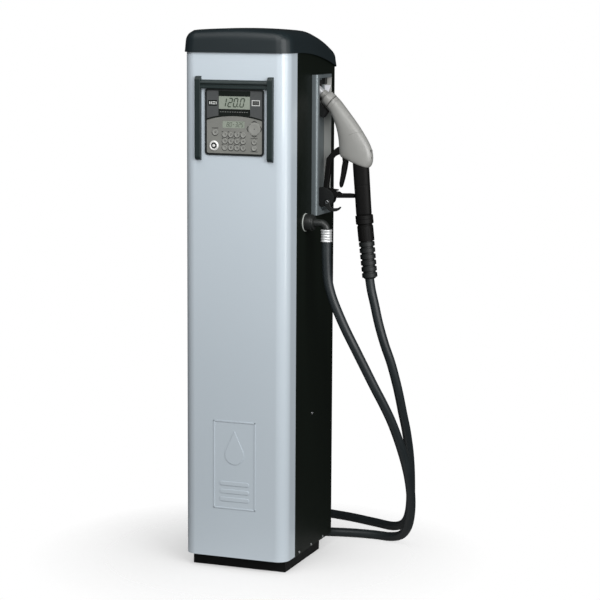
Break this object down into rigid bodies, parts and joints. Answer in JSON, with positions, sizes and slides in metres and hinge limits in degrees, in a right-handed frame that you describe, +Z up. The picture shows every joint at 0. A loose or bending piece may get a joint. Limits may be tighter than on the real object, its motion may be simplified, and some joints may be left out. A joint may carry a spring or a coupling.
{
  "type": "cabinet fuel dispenser",
  "caption": "Tall sheet-metal fuel dispenser column with front display and keypad, side nozzle tray, hose and automatic nozzle.",
  "frame": {"origin": "on the floor, at the centre of the floor anchor bolts, under the middle of the cabinet", "axes": "+Z up along the column; -Y out of the front with the display; +X towards the nozzle side"},
  "size_m": [0.8235, 0.7367, 1.6],
  "materials": {
    "plinth_paint": "textured black powder coat",
    "frame_steel": "plain grey zinc-coated steel",
    "cover_paint": "smooth light blue-grey gloss powder coat",
    "side_paint": "black satin powder coat",
    "cap_plastic": "near-black moulded plastic, satin",
    "screw_zinc": "zinc-plated",
    "rail_plastic": "black-green moulded plastic, semi-gloss",
    "housing_plastic": "black moulded plastic",
    "display_membrane": "dark grey printed membrane",
    "keypad_membrane": "warm grey printed membrane",
    "display_glass": "grey-green liquid crystal",
    "board_green": "green circuit board",
    "reader_chrome": "bright plated ring",
    "key_rubber": "grey key cap",
    "tray_steel": "brushed stainless steel",
    "black_moulding": "black moulded nylon",
    "ring_plastic": "light grey washer",
    "fitting_black": "black coated fitting",
    "ferrule_zinc": "bright zinc-plated ferrule",
    "hose_rubber": "black rubber hose",
    "spout_aluminium": "turned aluminium",
    "nozzle_plastic": "light warm grey moulded cover",
    "grip_rubber": "black soft grip",
    "works_casting": "painted casting",
    "motor_paint": "grey-blue painted motor"
  },
  "bodies": {
    "cabinet": {"base_plinth": "plinth_paint", "chassis": "frame_steel", "front_cover": "cover_paint", "side_panel_right": "side_paint", "side_panel_left": "side_paint", "rear_panel": "side_paint", "top_cap": "cap_plastic", "panel_screws": "screw_zinc", "relief_plate": "cover_paint", "guard_rail_left": "rail_plastic", "guard_rail_right": "rail_plastic", "display_hood": "rail_plastic", "control_housing": "housing_plastic", "display_fascia": "display_membrane", "keypad_fascia": "keypad_membrane", "display_modules": "display_glass", "circuit_board": "board_green", "key_reader": "reader_chrome", "nozzle_tray": "tray_steel", "spout_boot": "black_moulding", "drip_ledge": "tray_steel", "nozzle_cradle": "black_moulding", "outlet_ring": "ring_plastic", "bulkhead_fitting": "fitting_black", "outlet_elbow": "fitting_black", "hose_ferrule": "ferrule_zinc", "delivery_hose": "hose_rubber", "mains_switch_plate": "black_moulding", "pump_unit": "works_casting", "pump_motor": "motor_paint", "flow_meter": "works_casting", "pipework": "works_casting"},
    "nozzle": {"spout": "spout_aluminium", "spout_collar": "nozzle_plastic", "nozzle_cover": "nozzle_plastic", "grip": "grip_rubber", "trigger_guard": "black_moulding"},
    "trigger": {"trigger": "black_moulding"},
    "hold_latch": {"hold_latch": "black_moulding"},
    "hose_end": {"hose_swivel": "grip_rubber", "bend_restrictor": "grip_rubber"},
    "switch_lever": {"switch_lever": "black_moulding"},
    "mains_switch": {"mains_switch_knob": "black_moulding"},
    "motor_fan": {"motor_fan": "frame_steel"},
    "key_r1c1": {"key_r1c1": "key_rubber"},
    "key_r1c2": {"key_r1c2": "key_rubber"},
    "key_r1c3": {"key_r1c3": "key_rubber"},
    "key_r1c4": {"key_r1c4": "key_rubber"},
    "key_r2c1": {"key_r2c1": "key_rubber"},
    "key_r2c2": {"key_r2c2": "key_rubber"},
    "key_r2c3": {"key_r2c3": "key_rubber"},
    "key_r2c4": {"key_r2c4": "key_rubber"},
    "key_r3c1": {"key_r3c1": "key_rubber"},
    "key_r3c2": {"key_r3c2": "key_rubber"},
    "key_r3c3": {"key_r3c3": "key_rubber"},
    "key_r3c4": {"key_r3c4": "key_rubber"},
    "start_key": {"start_key": "key_rubber"},
    "navigation_pad": {"navigation_pad": "key_rubber"},
    "preset_key_upper": {"preset_key_upper": "key_rubber"},
    "preset_key_lower": {"preset_key_lower": "key_rubber"}
  },
  "joints": [
    {"name": "nozzle_draw", "type": "slide", "parent": "cabinet", "child": "nozzle", "axis": [0.7716, 0, -0.6361], "range_m": [0, 0.2], "deforming": ["delivery_hose"]},
    {"name": "swivel_turn", "type": "hinge", "parent": "nozzle", "child": "hose_end", "pos_m": [0.3026, 0.075, 1.052], "axis": [0.1097, 0, -0.994], "continuous": true},
    {"name": "trigger_pull", "type": "hinge", "parent": "nozzle", "child": "trigger", "pos_m": [0.243, 0.075, 1.205], "axis": [0, -1, 0], "range_deg": [0, 20], "stiffness_Nm_per_rad": 1.2, "springref_deg": -20.05},
    {"name": "latch_turn", "type": "hinge", "parent": "nozzle", "child": "hold_latch", "pos_m": [0.199, 0.075, 1.1215], "axis": [0, -1, 0], "range_deg": [0, 35]},
    {"name": "switch_turn", "type": "hinge", "parent": "cabinet", "child": "switch_lever", "pos_m": [0.192, 0.075, 1.086], "axis": [0, -1, 0], "range_deg": [0, 15]},
    {"name": "mains_turn", "type": "hinge", "parent": "cabinet", "child": "mains_switch", "pos_m": [-0.162, -0.088, 1.115], "axis": [1, 0, 0], "range_deg": [0, 90]},
    {"name": "fan_spin", "type": "hinge", "parent": "cabinet", "child": "motor_fan", "pos_m": [0.086, -0.005, 0.14], "axis": [1, 0, 0], "continuous": true},
    {"name": "key_r1c1_press", "type": "slide", "parent": "cabinet", "child": "key_r1c1", "axis": [0, 1, 0], "range_m": [0, 0.0008], "stiffness_N_per_m": 900, "springref_m": -0.0008},
    {"name": "key_r1c2_press", "type": "slide", "parent": "cabinet", "child": "key_r1c2", "axis": [0, 1, 0], "range_m": [0, 0.0008], "stiffness_N_per_m": 900, "springref_m": -0.0008},
    {"name": "key_r1c3_press", "type": "slide", "parent": "cabinet", "child": "key_r1c3", "axis": [0, 1, 0], "range_m": [0, 0.0008], "stiffness_N_per_m": 900, "springref_m": -0.0008},
    {"name": "key_r1c4_press", "type": "slide", "parent": "cabinet", "child": "key_r1c4", "axis": [0, 1, 0], "range_m": [0, 0.0008], "stiffness_N_per_m": 900, "springref_m": -0.0008},
    {"name": "key_r2c1_press", "type": "slide", "parent": "cabinet", "child": "key_r2c1", "axis": [0, 1, 0], "range_m": [0, 0.0008], "stiffness_N_per_m": 900, "springref_m": -0.0008},
    {"name": "key_r2c2_press", "type": "slide", "parent": "cabinet", "child": "key_r2c2", "axis": [0, 1, 0], "range_m": [0, 0.0008], "stiffness_N_per_m": 900, "springref_m": -0.0008},
    {"name": "key_r2c3_press", "type": "slide", "parent": "cabinet", "child": "key_r2c3", "axis": [0, 1, 0], "range_m": [0, 0.0008], "stiffness_N_per_m": 900, "springref_m": -0.0008},
    {"name": "key_r2c4_press", "type": "slide", "parent": "cabinet", "child": "key_r2c4", "axis": [0, 1, 0], "range_m": [0, 0.0008], "stiffness_N_per_m": 900, "springref_m": -0.0008},
    {"name": "key_r3c1_press", "type": "slide", "parent": "cabinet", "child": "key_r3c1", "axis": [0, 1, 0], "range_m": [0, 0.0008], "stiffness_N_per_m": 900, "springref_m": -0.0008},
    {"name": "key_r3c2_press", "type": "slide", "parent": "cabinet", "child": "key_r3c2", "axis": [0, 1, 0], "range_m": [0, 0.0008], "stiffness_N_per_m": 900, "springref_m": -0.0008},
    {"name": "key_r3c3_press", "type": "slide", "parent": "cabinet", "child": "key_r3c3", "axis": [0, 1, 0], "range_m": [0, 0.0008], "stiffness_N_per_m": 900, "springref_m": -0.0008},
    {"name": "key_r3c4_press", "type": "slide", "parent": "cabinet", "child": "key_r3c4", "axis": [0, 1, 0], "range_m": [0, 0.0008], "stiffness_N_per_m": 900, "springref_m": -0.0008},
    {"name": "start_key_press", "type": "slide", "parent": "cabinet", "child": "start_key", "axis": [0, 1, 0], "range_m": [0, 0.0008], "stiffness_N_per_m": 900, "springref_m": -0.0008},
    {"name": "navigation_pad_press", "type": "slide", "parent": "cabinet", "child": "navigation_pad", "axis": [0, 1, 0], "range_m": [0, 0.0008], "stiffness_N_per_m": 900, "springref_m": -0.0008},
    {"name": "preset_key_upper_press", "type": "slide", "parent": "cabinet", "child": "preset_key_upper", "axis": [0, 1, 0], "range_m": [0, 0.0008], "stiffness_N_per_m": 900, "springref_m": -0.0008},
    {"name": "preset_key_lower_press", "type": "slide", "parent": "cabinet", "child": "preset_key_lower", "axis": [0, 1, 0], "range_m": [0, 0.0008], "stiffness_N_per_m": 900, "springref_m": -0.0008}
  ],
  "couplings": [
    {"joint": "switch_turn", "follows": "nozzle_draw", "rad_per_m": 1.3}
  ]
}
